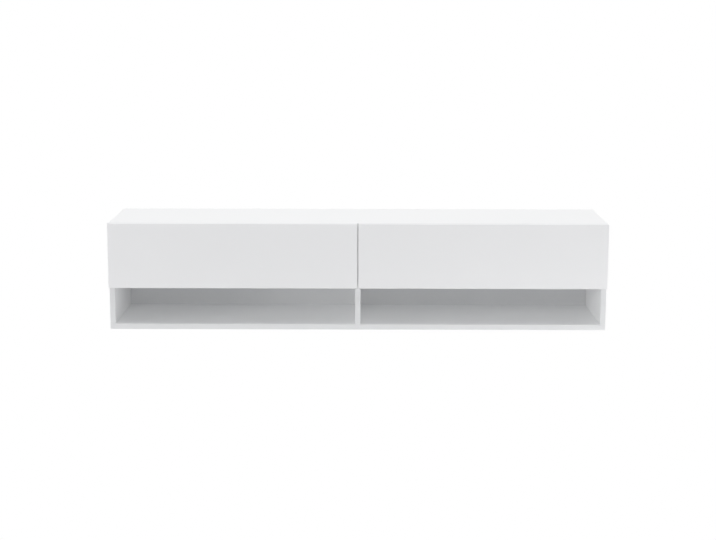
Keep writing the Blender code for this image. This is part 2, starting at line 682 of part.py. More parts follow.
def build_all():
    build_carcass()
    for side, way in SIDES:
        centre = way * (PARTITION_FACE + SIDE_INNER) / 2
        home = (centre, SLIDE_FRONT, SLIDE_CENTRE)
        runner = axis_empty(side + "_drawer_axis", home)
        carriers = {
            "drawer_member": runner,
            "middle_member": axis_empty(side + "_middle_members_axis", home),
            "outer_retainer": axis_empty(side + "_outer_retainers_axis", home),
            "inner_retainer": axis_empty(side + "_inner_retainers_axis", home),
        }
        presser = axis_empty(side + "_latch_axis", (centre, FRONT_REAR, PLUNGER_AXIS))
        build_drawer(side, way, runner)
        build_slide(side + "_outer_slide", way * SIDE_INNER, -way, carriers)
        build_slide(side + "_inner_slide", way * PARTITION_FACE, way, carriers)
        build_hanger(side, way)
        build_latch(side, way, presser)


build_all()
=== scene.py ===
import math

import bmesh
import bpy
from mathutils import Matrix, Quaternion, Vector


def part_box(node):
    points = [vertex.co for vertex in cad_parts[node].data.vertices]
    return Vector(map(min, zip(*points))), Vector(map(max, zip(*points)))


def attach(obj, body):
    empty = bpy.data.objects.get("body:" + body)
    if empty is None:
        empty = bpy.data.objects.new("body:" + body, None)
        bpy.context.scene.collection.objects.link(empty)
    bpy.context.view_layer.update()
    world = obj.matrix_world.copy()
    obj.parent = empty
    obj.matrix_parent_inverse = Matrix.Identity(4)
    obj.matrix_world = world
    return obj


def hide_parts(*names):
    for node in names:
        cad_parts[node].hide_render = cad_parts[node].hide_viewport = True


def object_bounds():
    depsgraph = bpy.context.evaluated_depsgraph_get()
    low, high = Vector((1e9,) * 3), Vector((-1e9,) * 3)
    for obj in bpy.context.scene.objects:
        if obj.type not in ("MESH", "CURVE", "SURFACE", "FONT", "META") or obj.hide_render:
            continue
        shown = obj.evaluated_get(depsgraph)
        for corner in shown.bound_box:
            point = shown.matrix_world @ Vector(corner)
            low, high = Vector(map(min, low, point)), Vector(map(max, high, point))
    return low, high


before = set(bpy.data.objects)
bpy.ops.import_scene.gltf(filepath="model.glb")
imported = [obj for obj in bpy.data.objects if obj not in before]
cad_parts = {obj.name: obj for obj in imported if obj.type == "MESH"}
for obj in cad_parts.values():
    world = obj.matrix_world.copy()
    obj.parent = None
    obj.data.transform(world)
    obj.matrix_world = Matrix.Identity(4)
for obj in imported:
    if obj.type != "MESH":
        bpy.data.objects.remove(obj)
cadLow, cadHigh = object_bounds()

mm = 0.001
fit = 0.3 * mm  # the gap that the frame keeps between neighbours
past = 1 * mm  # how far a cutter stands out of the face that it cuts
snug = 0.1 * mm  # the gap round the head of a small screw
weld = 0.002 * mm  # points of a turned solid that are nearer than this are one
facing = 0.9  # from this share of its length on, a normal or an edge counts as along an axis
hands = {"left": -1, "right": 1}  # each half of the unit, and the way it lies from the partition
scene = bpy.context.scene


# an sRGB hex colour as the linear colour that sockets take
def linear(hexColour):
    parts = [int(hexColour[i:i + 2], 16) / 255 for i in (0, 2, 4)]
    return [c / 12.92 if c <= 0.04045 else ((c + 0.055) / 1.055) ** 2.4 for c in parts] + [1.0]


# a node with its settings; an input that is another node's output is linked, any other is set
def addNode(tree, kind, inputs=None, **settings):
    node = tree.nodes.new("ShaderNode" + kind)
    for name, value in settings.items():
        setattr(node, name, value)
    for socket, value in (inputs or {}).items():
        if isinstance(value, bpy.types.NodeSocket):
            tree.links.new(value, node.inputs[socket])
        else:
            node.inputs[socket].default_value = value
    return node


# an empty material and the coordinates of the piece that it is on
def newMaterial(name):
    material = bpy.data.materials.new(name)
    material.use_nodes = True
    tree = material.node_tree
    tree.nodes.clear()
    return material, tree, addNode(tree, "TexCoord").outputs["Object"]


# closes a material with its shader, fed with what differs over the surface
def closeMaterial(tree, colour, height, relief, **sockets):
    bump = addNode(tree, "Bump", {"Height": height, "Distance": relief})
    named = {name.replace("_", " "): value for name, value in sockets.items()}
    shader = addNode(tree, "BsdfPrincipled",
                     {"Base Color": colour, "Normal": bump.outputs[0], **named})
    addNode(tree, "OutputMaterial", {"Surface": shader.outputs[0]})


lacquer = {
    "cloud": 140 * mm,  # two coats cloud the white a little
    "peel": 6 * mm, "relief": 0.012 * mm,  # orange peel is 1 to 2 mm across, drawn coarser to show
    "roughness": 0.34, "ior": 1.49,
    # three tones of one white lacquer, lit and shaded copies: the faces are painted lighter as
    # painted light, the fronts a little darker and the front edges darker still as painted shade
    "coats": {"OnFaceLightPainted": ("f8f8f9", "f5f6f6"), "OnFrontShadePainted": ("f1f1f2", "eeeeef"),
              "OnEdgeShadePainted": ("dddedf", "dadbdc")},
}


# Polyurethane lacquer sprayed on sanded board: an even satin white, with wide soft highlights
def sprayedLacquer(coat):
    light, shade = lacquer["coats"][coat]
    material, tree, place = newMaterial("satinLacquer" + coat)
    cloud = addNode(tree, "TexNoise", {"Vector": place, "Scale": 1 / lacquer["cloud"]})
    tint = addNode(tree, "Mix", {0: cloud.outputs[0], 6: linear(shade), 7: linear(light)},
                   data_type="RGBA")
    peel = addNode(tree, "TexNoise",
                   {"Vector": place, "Scale": 1 / lacquer["peel"], "Detail": 1.0})
    closeMaterial(tree, tint.outputs[2], peel.outputs[0], lacquer["relief"],
                  Roughness=lacquer["roughness"], IOR=lacquer["ior"])
    return material


melamine = {
    "light": "f2f3f4", "shade": "eeeff0", "cloud": 90 * mm,
    "pearl": 3 * mm,  # the press plate's pearls are 0.5 mm across, drawn coarser to show
    "relief": 0.03 * mm, "roughness": 0.46, "ior": 1.5,
}


# Melamine film pressed on particle board: a matt white with a fine pearl grain that breaks glare
def pressedMelamine():
    material, tree, place = newMaterial("pearlPressedMelamine")
    pearl = addNode(tree, "TexVoronoi", {"Vector": place, "Scale": 1 / melamine["pearl"]})
    cloud = addNode(tree, "TexNoise", {"Vector": place, "Scale": 1 / melamine["cloud"]})
    tint = addNode(tree, "Mix", {0: cloud.outputs[0], 6: linear(melamine["shade"]),
                                 7: linear(melamine["light"])}, data_type="RGBA")
    closeMaterial(tree, tint.outputs[2], pearl.outputs[0], melamine["relief"],
                  Roughness=melamine["roughness"], IOR=melamine["ior"])
    return material


edging = {
    "light": "f1f2f2", "shade": "ecedee",
    "draw": (90 * mm, 2 * mm),  # the lines that the die draws along it, and their spacing
    "relief": 0.01 * mm, "roughness": 0.38, "ior": 1.53,
}


# Extruded ABS edge band: a little smoother than the film, with faint lines from the die
def extrudedEdging():
    material, tree, place = newMaterial("extrudedAbsEdging")
    along, across = edging["draw"]
    stretch = addNode(tree, "Mapping",
                      {"Vector": place, "Scale": (1 / along, 1 / along, 1 / across)})
    lines = addNode(tree, "TexNoise", {"Vector": stretch.outputs[0], "Scale": 1.0})
    tint = addNode(tree, "Mix", {0: lines.outputs[0], 6: linear(edging["shade"]),
                                 7: linear(edging["light"])}, data_type="RGBA")
    closeMaterial(tree, tint.outputs[2], lines.outputs[0], edging["relief"],
                  Roughness=edging["roughness"], IOR=edging["ior"])
    return material


chipboard = {
    "chip": 5 * mm, "gap": 1.6 * mm, "pale": "c4a677", "mid": "a98860", "dark": "7a5a37",
    "lie": (0.6, 1.0, 1.6),  # the chips are long across the unit and thin upward
    "poreEdge": (0.36, 0.5),  # the levels of the noise between which a pore ends
    "relief": 0.25 * mm, "roughness": 0.85, "ior": 1.45,
}


# Sawn particle board: pressed wood chips in three browns, rough, with small open pores
def sawnChipboard():
    material, tree, place = newMaterial("sawnParticleBoard")
    flat = addNode(tree, "Mapping", {"Vector": place, "Scale": chipboard["lie"]})
    chips = addNode(tree, "TexVoronoi",
                    {"Vector": flat.outputs[0], "Scale": 1 / chipboard["chip"]})
    tone = addNode(tree, "SeparateColor", {0: chips.outputs["Color"]})
    pores = addNode(tree, "TexNoise", {"Vector": flat.outputs[0], "Scale": 1 / chipboard["gap"],
                                       "Detail": 3.0})
    wood = addNode(tree, "Mix", {0: tone.outputs[0], 6: linear(chipboard["mid"]),
                                 7: linear(chipboard["pale"])}, data_type="RGBA")
    start, end = chipboard["poreEdge"]
    closed = addNode(tree, "MapRange", {0: pores.outputs[0], 1: start, 2: end})
    shade = addNode(tree, "Mix", {0: closed.outputs[0], 6: linear(chipboard["dark"]),
                                  7: wood.outputs[2]}, data_type="RGBA")
    closeMaterial(tree, shade.outputs[2], closed.outputs[0], chipboard["relief"],
                  Roughness=chipboard["roughness"], IOR=chipboard["ior"])
    return material


hardboard = {
    # the face's two tones are darkened in part as painted shade
    "light": "dfe0e1", "shade": "dbdcde", "ripple": 9 * mm, "relief": 0.03 * mm,
    "brown": "7d5d3e", "deep": "634629", "fibre": 1.5 * mm, "drift": 90 * mm, "driftShare": 0.25,
    "spread": (0.36, 0.64),  # the levels of the mixed noise that get the deep and the full brown
    "backRelief": 0.08 * mm, "roughness": 0.5, "backRoughness": 0.8, "ior": 1.5,
}


# Foiled face of hardboard: greyer than the lacquer, partly the foil's own tone and partly painted
# shade for the dim backs of the niches, with the board's slight ripple
def foiledHardboard():
    material, tree, place = newMaterial("foiledHardboardFaceShadePainted")
    ripple = addNode(tree, "TexNoise", {"Vector": place, "Scale": 1 / hardboard["ripple"]})
    tint = addNode(tree, "Mix", {0: ripple.outputs[0], 6: linear(hardboard["shade"]),
                                 7: linear(hardboard["light"])}, data_type="RGBA")
    closeMaterial(tree, tint.outputs[2], ripple.outputs[0], hardboard["relief"],
                  Roughness=hardboard["roughness"], IOR=hardboard["ior"])
    return material


# Bare rear of hardboard: pressed brown wood fibre, dull and finely matted
def bareHardboard():
    material, tree, place = newMaterial("pressedFibreRear")
    mat = addNode(tree, "TexNoise",
                  {"Vector": place, "Scale": 1 / hardboard["fibre"], "Detail": 4.0})
    drift = addNode(tree, "TexNoise", {"Vector": place, "Scale": 1 / hardboard["drift"]})
    mixed = addNode(tree, "Mix", {0: hardboard["driftShare"], 2: mat.outputs[0],
                                  3: drift.outputs[0]})
    low, high = hardboard["spread"]
    level = addNode(tree, "MapRange", {0: mixed.outputs[0], 1: low, 2: high})
    tint = addNode(tree, "Mix", {0: level.outputs[0], 6: linear(hardboard["deep"]),
                                 7: linear(hardboard["brown"])}, data_type="RGBA")
    closeMaterial(tree, tint.outputs[2], mat.outputs[0], hardboard["backRelief"],
                  Roughness=hardboard["backRoughness"], IOR=hardboard["ior"])
    return material


metals = {
    # sheet and wire plated with bright zinc: cool grey, with rolling lines along the slides
    "brightZincPlate": {"light": "b3b7bb", "shade": "9ea3a8", "grain": (40 * mm, 1.5 * mm),
                        "relief": 0.006 * mm, "low": 0.26, "high": 0.36},
    # pressure-cast zinc of cams: duller and a little mottled
    "castZincAlloy": {"light": "b9bbbc", "shade": "a3a5a7", "grain": (4 * mm, 3 * mm),
                      "relief": 0.02 * mm, "low": 0.38, "high": 0.5},
    # bare strip of ball retainers, with a film of grease that streaks its gloss
    "oiledSteelStrip": {"light": "b4b4b2", "shade": "9c9c9b", "grain": (20 * mm, 1 * mm),
                        "relief": 0.006 * mm, "low": 0.2, "high": 0.34},
    # ground and polished bearing balls: nearly a mirror
    "polishedBallSteel": {"light": "d8d8d8", "shade": "d0d0d1", "grain": (6 * mm, 6 * mm),
                          "relief": 0.001 * mm, "low": 0.08, "high": 0.12},
}


grainLevels = (0.3, 0.7)  # the levels of the noise that get a metal's lowest and highest roughness


# a metal whose tone and gloss drift along its grain
def grainedMetal(name):
    finish = metals[name]
    material, tree, place = newMaterial(name)
    along, across = finish["grain"]
    stretch = addNode(tree, "Mapping",
                      {"Vector": place, "Scale": (1 / across, 1 / along, 1 / across)})
    grain = addNode(tree, "TexNoise", {"Vector": stretch.outputs[0], "Scale": 1.0, "Detail": 3.0})
    tint = addNode(tree, "Mix", {0: grain.outputs[0], 6: linear(finish["shade"]),
                                 7: linear(finish["light"])}, data_type="RGBA")
    gloss = addNode(tree, "MapRange", {0: grain.outputs[0], 1: grainLevels[0], 2: grainLevels[1],
                                       3: finish["low"], 4: finish["high"]})
    closeMaterial(tree, tint.outputs[2], grain.outputs[0], finish["relief"],
                  Metallic=1.0, Roughness=gloss.outputs[0])
    return material


plastics = {
    # nylon moulded in a polished tool: a warm, slightly waxy white
    "mouldedNylon": {"light": "ecebe6", "shade": "e4e3dd", "flow": 12 * mm, "relief": 0.03 * mm,
                     "roughness": 0.42, "ior": 1.53, "wax": 0.08, "waxDepth": 1 * mm},
    # acetal moulded grey: matt from the tool's spark-eroded grain
    "mouldedAcetal": {"light": "7d8083", "shade": "74777a", "flow": 2 * mm, "relief": 0.03 * mm,
                      "roughness": 0.5, "ior": 1.48, "wax": 0.02, "waxDepth": 1 * mm},
}


# a moulded plastic, with the faint flow marks of the tool
def mouldedPlastic(name):
    finish = plastics[name]
    material, tree, place = newMaterial(name)
    flow = addNode(tree, "TexNoise",
                   {"Vector": place, "Scale": 1 / finish["flow"], "Detail": 3.0})
    tint = addNode(tree, "Mix", {0: flow.outputs[0], 6: linear(finish["shade"]),
                                 7: linear(finish["light"])}, data_type="RGBA")
    closeMaterial(tree, tint.outputs[2], flow.outputs[0], finish["relief"],
                  Roughness=finish["roughness"], IOR=finish["ior"],
                  Subsurface_Weight=finish["wax"], Subsurface_Scale=finish["waxDepth"])
    return material


# the lacquer in its painted-light tone for faces and its painted-shade tones for fronts and front
# edges
lacquered, shadePaintedFrontLacquer, shadePaintedEdgeLacquer = [sprayedLacquer(coat) for coat in lacquer["coats"]]
filmed, banded = pressedMelamine(), extrudedEdging()
sawn, foiled, fibre = sawnChipboard(), foiledHardboard(), bareHardboard()
zinc, castZinc, strip, balls = [grainedMetal(name) for name in metals]
nylon, acetal = [mouldedPlastic(name) for name in plastics]
print("materials:", len(bpy.data.materials))


# a new object from a bmesh
def meshObject(name, shape, *materials):
    mesh = bpy.data.meshes.new(name)
    shape.to_mesh(mesh)
    shape.free()
    for material in materials:
        mesh.materials.append(material)
    piece = bpy.data.objects.new(name, mesh)
    scene.collection.objects.link(piece)
    return piece


# a box between two corners, its edges rounded
def softBox(low, high, radius=0.0, segments=3):
    low, high = Vector(map(min, low, high)), Vector(map(max, low, high))
    shape = bmesh.new()
    stretch = Matrix.Diagonal((*(high - low), 1.0))
    bmesh.ops.create_cube(shape, matrix=Matrix.Translation((low + high) / 2) @ stretch)
    if radius:
        bmesh.ops.bevel(shape, geom=shape.edges[:], offset=radius, segments=segments, profile=0.5,
                        affect="EDGES")
    return shape


# a slab between two corners, with the four edges that run along an axis rounded
def roundedSlab(low, high, axis, radius, segments=8):
    shape = softBox(low, high)
    edges = [edge for edge in shape.edges
             if abs((edge.verts[0].co - edge.verts[1].co).normalized()[axis]) > facing]
    bmesh.ops.bevel(shape, geom=edges, offset=radius, segments=segments, profile=0.5,
                    affect="EDGES")
    return shape


# a solid turned round an axis, from (radius, height) points that run along it
def turnedShape(profile, place, axis, steps=32):
    shape = bmesh.new()
    points = [shape.verts.new((radius, 0, height)) for radius, height in profile]
    edges = [shape.edges.new(pair) for pair in zip(points, points[1:])]
    bmesh.ops.spin(shape, geom=points + edges, axis=(0, 0, 1), cent=(0, 0, 0), angle=math.tau,
                   steps=steps, use_duplicate=False)
    bmesh.ops.remove_doubles(shape, verts=shape.verts, dist=weld)
    bmesh.ops.recalc_face_normals(shape, faces=shape.faces)
    turn = Vector((0, 0, 1)).rotation_difference(Vector(axis)).to_matrix().to_4x4()
    bmesh.ops.transform(shape, matrix=Matrix.Translation(place) @ turn, verts=shape.verts)
    return shape


# a round bar or hole between two heights of an axis
def roundShape(place, axis, start, end, radius, steps=32):
    return turnedShape([(0, start), (radius, start), (radius, end), (0, end)], place, axis, steps)


# keeps what a piece's modifiers make of it
def settle(piece):
    graph = bpy.context.evaluated_depsgraph_get()
    mesh = bpy.data.meshes.new_from_object(piece.evaluated_get(graph))
    piece.modifiers.clear()
    piece.data = mesh


# cuts shapes out of a piece; the cut faces get the finish that is given
def carve(piece, shapes, finish):
    cutters = [meshObject("cutter", shape, finish) for shape in shapes]
    for cutter in cutters:
        cut = piece.modifiers.new("cut", "BOOLEAN")
        cut.object = cutter
        cut.solver = "EXACT"
        cut.material_mode = "TRANSFER"
    settle(piece)
    for cutter in cutters:
        bpy.data.objects.remove(cutter)
    return piece


# gives a finish to the faces whose middle and normal pass a test
def coat(piece, finish, test):
    if finish.name not in piece.data.materials:
        piece.data.materials.append(finish)
    index = piece.data.materials.find(finish.name)
    for face in piece.data.polygons:
        if test(face.center, face.normal):
            face.material_index = index
    return piece


creaseAngle = math.radians(38)  # rounded arrises shade smoothly below it, real edges stay sharp


# shades a finished piece, hangs it on its body and hides the nodes that it stands for; its slot is
# not used
def install(piece, body, slot, *nodes):
    piece.data.shade_smooth()
    piece.data.set_sharp_from_angle(angle=creaseAngle)
    even = piece.modifiers.new("evenNormals", "WEIGHTED_NORMAL")
    even.keep_sharp = True
    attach(piece, body)
    if nodes:
        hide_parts(*nodes)
    return piece


# the part's own nodes that are right as they are get their finish here
def refinish(node, material):
    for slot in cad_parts[node].material_slots:
        slot.material = material


# a node's box, grown on every side
def grownBox(node, growth):
    low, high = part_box(node)
    return softBox(low - Vector((growth,) * 3), high + Vector((growth,) * 3))


joiningScrew = {
    "headRadius": 5 * mm, "headHeight": 3.5 * mm, "neckRadius": 3.4 * mm, "neckEnd": 12.5 * mm,
    "shankRadius": 2.5 * mm, "length": 48 * mm, "rim": 0.4 * mm, "shoulder": 0.5 * mm,
    "socketRadius": 2.3 * mm, "socketDepth": 2.5 * mm, "socketSides": 6,
}


# the screw's outline from its head up, or its seat's where it is grown
def screwProfile(grow):
    s = joiningScrew
    return [(0, 0), (s["headRadius"] + grow, 0), (s["headRadius"] + grow, s["rim"]),
            (s["neckRadius"] + grow, s["headHeight"]), (s["neckRadius"] + grow, s["neckEnd"]),
            (s["shankRadius"] + grow, s["neckEnd"] + s["shoulder"]),
            (s["shankRadius"] + grow, s["length"] - s["shankRadius"]), (0, s["length"] + grow)]


screwNodes = [label + end for label in ("left", "right", "partition")
              for end in ("_front_screw", "_rear_screw")]


def screwFoot(node):
    low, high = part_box(node)
    return Vector(((low.x + high.x) / 2, (low.y + high.y) / 2, low.z))


def buildJoiningScrews():
    for node in screwNodes:
        foot = screwFoot(node)
        piece = meshObject(node + "_turned", turnedShape(screwProfile(0), foot, (0, 0, 1)), zinc)
        carve(piece, [roundShape(foot, (0, 0, 1), -past, joiningScrew["socketDepth"],
                                 joiningScrew["socketRadius"],
                                 joiningScrew["socketSides"])], zinc)
        install(piece, "root", "zinc_steel", node)


carcass = {
    "arris": 0.8 * mm, "segments": 3,
    "rear": 0.1 * mm,  # a face this near to a board's rear edge is raw
}


# top, bottom, sides and partition: lacquered all round, raw at the rear edge that the wall hides
def buildCarcass():
    rear = carcass["rear"]
    for node in ("top_panel", "bottom_panel", "left_side_panel", "right_side_panel",
                 "centre_partition"):
        low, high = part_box(node)
        # the boards take the face lacquer, painted lighter as painted light
        piece = meshObject(node + "_board",
                           softBox(low, high, carcass["arris"], carcass["segments"]), lacquered)
        cuts = [grownBox(hand + "_back_panel", fit) for hand in hands]
        for screw in screwNodes:
            foot = screwFoot(screw)
            if low.x - fit < foot.x < high.x + fit and node != "top_panel":
                cuts.append(turnedShape(screwProfile(fit), foot - Vector((0, 0, fit)), (0, 0, 1)))
        for hand in hands:
            if node.startswith(hand):
                cuts += hangerPegs(hand, fit)
        carve(piece, cuts + camSeats(node, fit), sawn)
        coat(piece, sawn, lambda centre, normal: normal.y > facing and centre.y > high.y - rear)
        # the front edges take the darker edge lacquer, a painted shade
        coat(piece, shadePaintedEdgeLacquer, lambda centre, normal: centre.y < low.y + carcass["arris"])
        install(piece, "root", "lacquered_board", node)


# the opening for the hanger's hook, and how far over the unit's top and end its cutter goes
backNotch = {"margin": 4 * mm, "drop": 30 * mm, "over": 20 * mm}


def buildBacks():
    for hand, way in hands.items():
        node = hand + "_back_panel"
        low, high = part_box(node)
        piece = meshObject(node + "_sheet", softBox(low, high), fibre)
        hangerLow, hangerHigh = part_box(hand + "_hanger_housing")
        inner = hangerLow.x if way > 0 else hangerHigh.x
        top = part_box("top_panel")[0].z
        notch = softBox(
            (inner - way * backNotch["margin"], low.y - past, top - backNotch["drop"]),
            (way * (cadHigh[0] + backNotch["over"]), high.y + past, top + backNotch["over"]))
        carve(piece, [notch], fibre)
        # the back panels' faces get the greyed foil, partly a painted shade
        coat(piece, foiled, lambda centre, normal: normal.y < -facing)
        install(piece, "root", "faced_hardboard", node)


shelfBand = {
    "thickness": 1 * mm, "arris": 0.4 * mm, "boardArris": 0.1 * mm,
    "flat": 0.5,  # a face whose normal points less up or down than this is an edge, and raw
}


# the shelf under each drawer: film on both faces, an edge band along the front
def buildShelves():
    for hand in hands:
        node = hand + "_drawer_shelf"
        low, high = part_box(node)
        front = low.y + shelfBand["thickness"]
        board = meshObject(node + "_board", softBox((low.x, front, low.z), high,
                                                    shelfBand["boardArris"], 1), filmed)
        carve(board, camSeats(node, fit), sawn)
        coat(board, sawn, lambda centre, normal: abs(normal.z) < shelfBand["flat"])
        install(board, "root", "melamine_board", node)
        band = meshObject(node + "_edging",
                          softBox(low, (high.x, front, high.z), shelfBand["arris"]), banded)
        install(band, "root", "melamine_board")


cam = {
    "radius": 7.5 * mm, "depth": 11 * mm, "sunk": 0.2 * mm, "rim": 0.4 * mm, "chamfer": 1 * mm,
    "slotLength": 7 * mm, "slotWidth": 1.3 * mm, "slotDepth": 2.5 * mm,
    "fromEnd": 24 * mm, "frontEdge": 45 * mm, "rearEdge": 75 * mm,
}

# the boards that hold cams, each with the way its cams face
camBoards = {"left_drawer_shelf": (0, 0, 1), "right_drawer_shelf": (0, 0, 1),
             "left_side_panel": (1, 0, 0), "right_side_panel": (-1, 0, 0),
             "centre_partition": (-1, 0, 0)}


# where a board's cams lie: a shelf's at both ends of its upper face, an upright's under its top
def camPlaces(node):
    low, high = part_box(node)
    axis = camBoards[node]
    face = high.x if axis[0] > 0 else low.x
    spots = ([(low.x + cam["fromEnd"], high.z), (high.x - cam["fromEnd"], high.z)] if axis[2] else
             [(face, high.z - cam["fromEnd"])])
    return [Vector((x, y, z)) for x, z in spots
            for y in (low.y + cam["frontEdge"], high.y - cam["rearEdge"])]


def camSeats(node, growth):
    if node not in camBoards:
        return []
    return [roundShape(place, camBoards[node], -cam["depth"] - growth, past,
                       cam["radius"] + growth) for place in camPlaces(node)]


def buildCams():
    for node, axis in camBoards.items():
        for number, place in enumerate(camPlaces(node)):
            install(camPiece(f"{node}_cam_{number}", place, Vector(axis)), "root", "zinc_steel")


# a cast cam, just under the board's face, with a cross slot for the driver
def camPiece(name, place, axis, radius=cam["radius"], depth=cam["depth"]):
    top, chamfer = -cam["sunk"], cam["chamfer"]
    profile = [(0, -depth), (radius - chamfer, -depth), (radius, chamfer - depth),
               (radius, top - cam["rim"]), (radius - cam["rim"], top), (0, top)]
    piece = meshObject(name, turnedShape(profile, place, axis), castZinc)
    return carve(piece, crossSlot(place + axis * top, axis, cam["slotLength"],
                                  cam["slotWidth"], cam["slotDepth"]), castZinc)


# two crossed slots that go into a face from its outside, their edges rounded by a share of their
# width
def crossSlot(place, axis, length, width, depth, roundness=0.2):
    turn = Vector((0, 0, 1)).rotation_difference(axis).to_matrix().to_4x4()
    slots = []
    for across, up in ((length / 2, width / 2), (width / 2, length / 2)):
        slot = softBox((-across, -up, -depth), (across, up, past), width * roundness, 2)
        bmesh.ops.transform(slot, matrix=Matrix.Translation(place) @ turn, verts=slot.verts)
        slots.append(slot)
    return slots


# the small screws: "sunk" and "rim" are lengths, "slotReach" is the deepest that the slot goes as a
# share of the screw's length, and the others are shares of the head's radius
flushHead = {"sunk": 0.15 * mm, "rim": 0.25 * mm, "shank": 0.55, "slot": 1.1, "slotWidth": 0.28,
             "slotDepth": 0.5, "slotReach": 0.55, "steps": 24}


# a countersunk screw sunk flush in a face; axis points out of the face. Its cone stands at 45
# degrees, and a screw that is too short for a shank ends in the cone
def flushScrew(name, place, axis, headRadius, length):
    sunk = flushHead["sunk"]
    rim = sunk + flushHead["rim"]
    shank, slot, slotWidth, slotDepth = [headRadius * flushHead[share]
                                         for share in ("shank", "slot", "slotWidth", "slotDepth")]
    cone = min(headRadius - shank, length - rim)
    foot = headRadius - cone
    tip = min(foot, length - rim - cone)
    profile = [(0, -length), (foot, tip - length), (foot, -rim - cone), (headRadius, -rim),
               (headRadius - sunk, -sunk), (0, -sunk)]
    piece = meshObject(name, turnedShape(profile, place, axis, flushHead["steps"]), zinc)
    return carve(piece, crossSlot(place - axis * sunk, axis, slot, slotWidth,
                                  min(slotDepth, length * flushHead["slotReach"])), zinc)


fronts = {"arris": 1.5 * mm, "segments": 5}


# the lacquered fronts: plain boards without a handle, as a push on them opens the drawer
def buildFronts():
    for hand in hands:
        node = hand + "_drawer_front"
        # the fronts take the darker front lacquer, a painted shade
        piece = meshObject(node + "_board", softBox(*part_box(node), fronts["arris"],
                                                    fronts["segments"]), shadePaintedFrontLacquer)
        carve(piece, [grownBox(hand + "_drawer_bottom", fit)], sawn)
        install(piece, hand + "_drawer", "lacquered_board", node)


drawer = {
    "arris": 0.4 * mm, "segments": 2, "sheetArris": 0.2 * mm,
    "edge": 1 * mm,  # a face this near to a board's edge belongs to the edge
    "camRadius": 6 * mm, "camDepth": 9 * mm, "camFromFront": 24 * mm,
    "camHeights": (28 * mm, 70 * mm), "backScrewHeights": (7 * mm, 80 * mm),
    "backScrewHead": 3.4 * mm, "backScrewLength": 5.5 * mm, "backScrewSeat": 6 * mm,
}


# a drawer board is filmed, with an edge band on top and a raw edge below
def coatDrawerBoard(piece, low, high):
    top, foot = high.z - drawer["edge"], low.z + drawer["edge"]
    coat(piece, banded, lambda centre, normal: normal.z > facing and centre.z > top)
    coat(piece, sawn, lambda centre, normal: normal.z < -facing and centre.z < foot)


# a drawer's side, with the cams that hold the front and the screws that hold the back; out is the
# way it faces
def buildDrawerSide(body, side, out):
    node = f"{body}_{side}_side"
    low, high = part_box(node)
    backLow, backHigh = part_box(body + "_back")
    within, outside = (low.x, high.x) if out > 0 else (high.x, low.x)
    away = Vector((out, 0, 0))
    cams = [Vector((within, low.y + drawer["camFromFront"], low.z + rise))
            for rise in drawer["camHeights"]]
    screws = [Vector((outside, (backLow.y + backHigh.y) / 2, low.z + rise))
              for rise in drawer["backScrewHeights"]]
    piece = meshObject(node + "_board", softBox(low, high, drawer["arris"], drawer["segments"]),
                       filmed)
    cuts = [grownBox(body + "_bottom", fit)]
    cuts += [roundShape(place, -away, -drawer["camDepth"] - fit, past,
                        drawer["camRadius"] + fit) for place in cams]
    cuts += [roundShape(place, away, -drawer["backScrewSeat"], past,
                        drawer["backScrewHead"] + snug) for place in screws]
    carve(piece, cuts, sawn)
    coatDrawerBoard(piece, low, high)
    install(piece, body, "melamine_board", node)
    for number, place in enumerate(cams):
        install(camPiece(f"{node}_cam_{number}", place, -away, drawer["camRadius"],
                         drawer["camDepth"]), body, "zinc_steel")
    for number, place in enumerate(screws):
        install(flushScrew(f"{node}_screw_{number}", place, away, drawer["backScrewHead"],
                           drawer["backScrewLength"]), body, "zinc_steel")


def buildDrawerBoxes():
    for hand, way in hands.items():
        body = hand + "_drawer"
        buildDrawerSide(body, "outer", way)
        buildDrawerSide(body, "inner", -way)
        low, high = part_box(body + "_back")
        piece = meshObject(body + "_back_board",
                           softBox(low, high, drawer["arris"], drawer["segments"]), filmed)
        carve(piece, [grownBox(body + "_bottom", fit)], sawn)
        coatDrawerBoard(piece, low, high)
        install(piece, body, "melamine_board", body + "_back")
        sheet = meshObject(body + "_bottom_sheet",
                           softBox(*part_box(body + "_bottom"), drawer["sheetArris"], 1), fibre)
        # the drawer bottoms get the same greyed foil, partly a painted shade
        coat(sheet, foiled, lambda centre, normal: normal.z > facing)
        install(sheet, body, "faced_hardboard", body + "_bottom")


slide = {
    "sheet": 1.2 * mm, "strip": 0.6 * mm, "width": 12.7 * mm, "height": 45.5 * mm,
    "bend": 1.2 * mm, "ball": 1.8 * mm, "lip": 0.5 * mm, "balls": 9, "ballMargin": 8 * mm,
    # degrees round the balls, from the lip to the side of the web
    "curls": {"cabinet": (20, 135), "middle": (30, 135), "drawer": (240, 315)},
    "screwMargin": 37 * mm, "holeRadius": 2.35 * mm, "accessRadius": 6 * mm,
    "slotLength": 13 * mm, "slotRadius": 2.2 * mm,
    "slotCorner": 0.99,  # of the radius, so that the two bevels at an end don't meet
    "screwHead": 2.1 * mm, "screwLength": 1.1 * mm, "cutReach": 2 * mm,
    "arcSteps": 10, "bendSteps": 5, "holeSteps": 24, "ballSteps": (20, 12),
}


def arc(across, up, radius, start, end, steps=slide["arcSteps"]):
    angles = [math.radians(start + (end - start) * step / steps) for step in range(steps + 1)]
    return [(across + radius * math.cos(a), up + radius * math.sin(a)) for a in angles]


